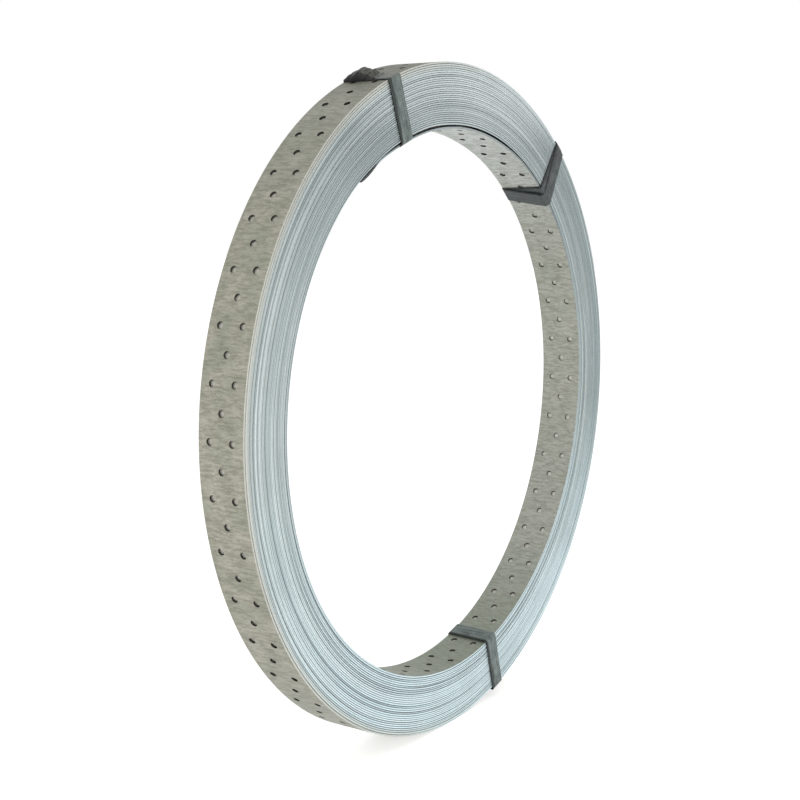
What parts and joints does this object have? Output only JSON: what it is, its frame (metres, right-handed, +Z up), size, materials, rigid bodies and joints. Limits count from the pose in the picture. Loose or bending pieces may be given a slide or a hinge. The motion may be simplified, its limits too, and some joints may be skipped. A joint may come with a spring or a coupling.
{
  "type": "steel strip coil",
  "caption": "Upright coil of punched galvanised steel strip, wound in tight turns round an open bore and bound by flat steel straps with crimped seals.",
  "frame": {"origin": "on the floor under the coil's centre, at the bottom centre of its bounding box", "axes": "+Z up, Y along the coil's axis, and the end that faces the camera is at -Y"},
  "size_m": [0.56, 0.0424, 0.56],
  "materials": {
    "galvanised_strip": "galvanised, matt, streaked",
    "steel_strap": "dark slate, waxed, satin",
    "strap_seal": "dark, crimped, dull"
  },
  "bodies": {
    "root": {"strip_coil": "galvanised_strip", "top_strap": "steel_strap", "top_strap_seal": "strap_seal", "upper_strap": "steel_strap", "upper_strap_seal": "strap_seal", "lower_strap": "steel_strap", "lower_strap_seal": "strap_seal"}
  },
  "joints": []
}
